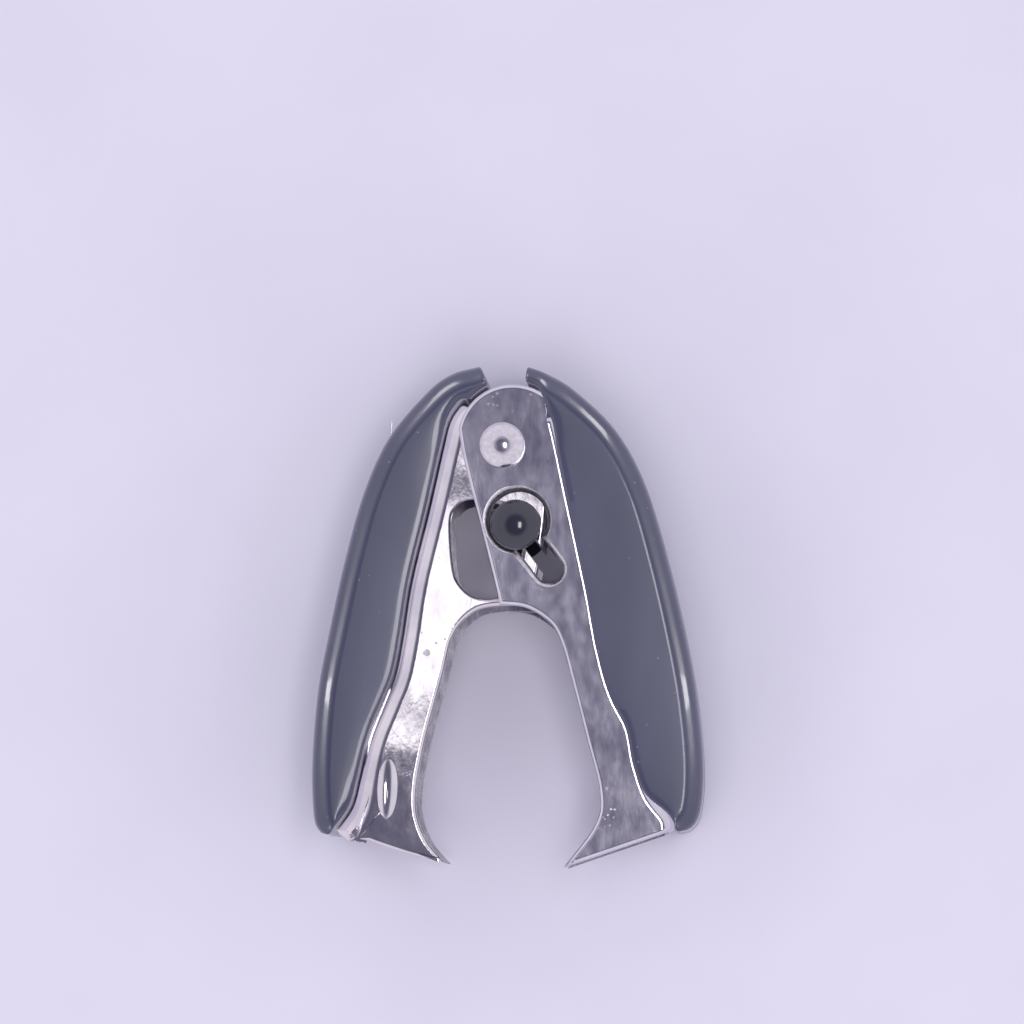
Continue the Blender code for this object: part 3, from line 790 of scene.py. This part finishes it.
jaws = [makeOuterJaw()]
say("outer jaw stamped")
jaws.append(makeInnerJaw())
say("inner jaw stamped")
plastics = list(makeGrips())
say("grips moulded")
makeRivet()
makeButton("lockButtonFront", "lock_button_front", 1)
makeButton("lockButtonRear", "lock_button_rear", -1)
say("rivet and buttons turned")
makeSpring()
say("spring coiled")

for node, finish in (("pivot_sleeve", sleeveSteel), ("lock_pin", pinSteel)):
    carried = frame["nodes"][node]
    if not carried.data.materials:
        carried.data.materials.append(finish)
    for i in range(len(carried.material_slots)):
        carried.material_slots[i].material = finish


# ---- floor, light and camera

studio = {
    "floor": "e6e3f0", "floorDeep": "e1deec", "aim": (-0.002, -0.015, 0.005), "lampColour": (1.0, 0.985, 1.0),
    "lamps": {                                  # place and size in metres, from the rivet
        "frontRight": {"at": (0.11, 0.0, 0.58), "size": (0.08, 0.16), "radiance": 9.0},
        "jawMirror": {"at": (-0.0615, 0.0175, 0.60), "size": (0.057, 0.055), "radiance": 1.6, "for": "jaws"},
        "gripSheen": {"at": (-0.03, 0.02, 0.60), "size": (0.17, 0.17), "radiance": 0.75, "for": "plastics"},
        "stripLeft": {"at": (-0.43, 0.044, 0.28), "size": (0.026, 0.25), "radiance": 20.0, "for": "plastics"},
        "stripLeftTop": {"at": (-0.2475, 0.351, 0.28), "size": (0.15, 0.20), "radiance": 7.0, "for": "plastics"},
        "stripRight": {"at": (0.428, 0.055, 0.28), "size": (0.026, 0.25), "radiance": 20.0, "for": "plastics"},
        "paperGlow": {"at": (0.0, -0.13, 0.50), "size": (0.2, 0.2), "radiance": 4.5, "for": "paper"},
        "stripRightTop": {"at": (0.291, 0.3165, 0.28), "size": (0.09, 0.22), "radiance": 9.0, "for": "plastics"},
    },
}


def makeFloor():
    bm = bmesh.new()
    bmesh.ops.create_grid(bm, x_segments=8, y_segments=8, size=1.6)
    mat, tree, place = newFinish("palePaper")
    fleck = addNode(tree, "TexNoise", {"Vector": place, "Scale": grain(30), "Detail": 3.0})
    tint = addNode(tree, "ValToRGB", {"Fac": fleck.outputs["Fac"]},
                   ramp=[(0.3, linear(studio["floorDeep"])), (0.7, linear(studio["floor"]))])
    shader = addNode(tree, "BsdfPrincipled", {"Base Color": tint.outputs[0], "Roughness": 0.85,
                                              "Specular IOR Level": 0.2})
    closeFinish(tree, shader)
    asObject("floor", bm, [mat])


def areaLamp(name, lamp, groups):
    # a rectangular lamp that faces the remover, its long side upright
    data = bpy.data.lights.new(name, "AREA")
    data.shape = "RECTANGLE"
    data.size, data.size_y = lamp["size"]
    data.energy = lamp["radiance"] * math.pi * data.size * data.size_y
    data.color = studio["lampColour"]
    obj = bpy.data.objects.new(name, data)
    target = pivot + Vector(studio["aim"])
    place = pivot + Vector(lamp["at"])
    away = (place - target).normalized()
    overhead = away.z > 0.85                    # these keep square to the floor's axes
    across = Vector((0, 1, 0) if overhead else (0, 0, 1)).cross(away).normalized()
    upward = away.cross(across)
    obj.matrix_world = Matrix.Translation(place) @ Matrix((across, upward, away)).transposed().to_4x4()
    bpy.context.scene.collection.objects.link(obj)
    if "for" in lamp:
        obj.light_linking.receiver_collection = groups[lamp["for"]]


def makeWorld():
    # a light tent with a dark opening at its top for the camera
    world = bpy.data.worlds.new("studio")
    bpy.context.scene.world = world
    world.use_nodes = True
    tree = world.node_tree
    tree.nodes.clear()
    aim = addNode(tree, "TexCoord").outputs["Generated"]
    parts = addNode(tree, "SeparateXYZ", {0: aim})
    walls = addNode(tree, "ValToRGB", {"Fac": parts.outputs["Z"]},
                    ramp=[(0.0, (0.93, 0.90, 0.99, 1)), (0.80, (0.86, 0.84, 0.95, 1)),
                          (0.91, (0.17, 0.165, 0.24, 1)), (0.97, (0.15, 0.145, 0.22, 1))])
    shell = addNode(tree, "Background", {"Color": walls.outputs[0], "Strength": 1.0})
    addNode(tree, "OutputWorld", {"Surface": shell.outputs[0]})


view = {"target": (0.47, 11.61, 17.5), "right": 2.5, "below": 4.3, "distance": 0.60, "lens": 189.8}


def makeCamera():
    data = bpy.data.cameras.new("camera")
    data.sensor_width = 36
    data.lens = view["lens"]
    data.clip_start = 0.01
    data.clip_end = 20
    camera = bpy.data.objects.new("camera", data)
    a, b = math.radians(view["right"]), math.radians(view["below"])
    away = Vector((math.sin(a), -math.sin(b), 0))
    away.z = math.sqrt(1 - away.length_squared)
    across = Vector((0, 1, 0)).cross(away).normalized()
    upward = away.cross(across)
    place = Vector(view["target"]) * 0.001 + away * view["distance"]
    turn = Matrix((across, upward, away)).transposed().to_4x4()
    camera.matrix_world = Matrix.Translation(place) @ turn
    bpy.context.scene.collection.objects.link(camera)
    bpy.context.scene.camera = camera


makeFloor()
makeWorld()
groups = {}
for group, members in (("jaws", jaws), ("plastics", plastics), ("paper", [bpy.data.objects["floor"]])):
    groups[group] = bpy.data.collections.new(group)
    for obj in members:
        groups[group].objects.link(obj)
for obj in plastics:
    obj.visible_glossy = False                  # the bends mirror the tent, not the grips' walls
for name, lamp in studio["lamps"].items():
    areaLamp(name, lamp, groups)
makeCamera()
bpy.context.scene.view_settings.view_transform = "Standard"
say("floor, lamps and camera set")
